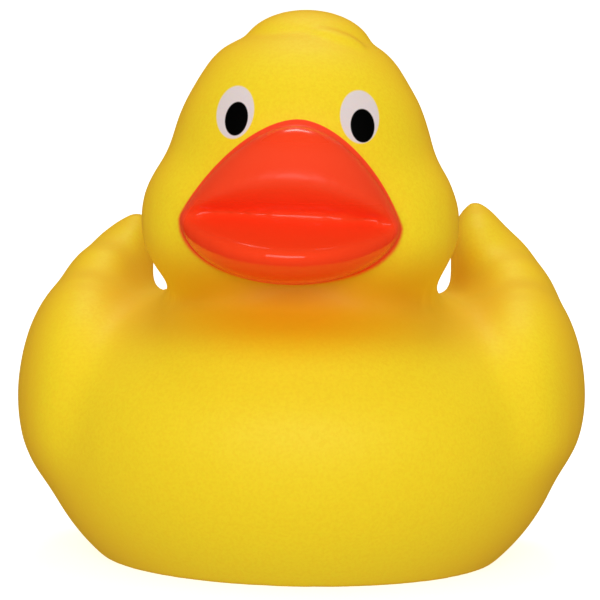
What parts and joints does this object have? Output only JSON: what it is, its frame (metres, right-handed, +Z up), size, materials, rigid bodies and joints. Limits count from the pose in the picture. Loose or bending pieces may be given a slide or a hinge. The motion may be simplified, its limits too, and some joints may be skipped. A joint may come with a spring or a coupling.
{
  "type": "rubber duck",
  "caption": "Hollow vinyl bath duck with an open bill, raised wing tips and a flat base that holds a squeaker.",
  "frame": {"origin": "on the flat base, under the middle of the body's widest part", "axes": "+Z up, the duck faces -Y, +X on the duck's own left"},
  "size_m": [0.0838, 0.087, 0.0806],
  "materials": {
    "shell": "satin soft vinyl, with the bill and eyes sprayed on",
    "squeaker": "satin"
  },
  "bodies": {
    "root": {"moulded_shell": "shell", "squeaker": "squeaker"}
  },
  "joints": []
}
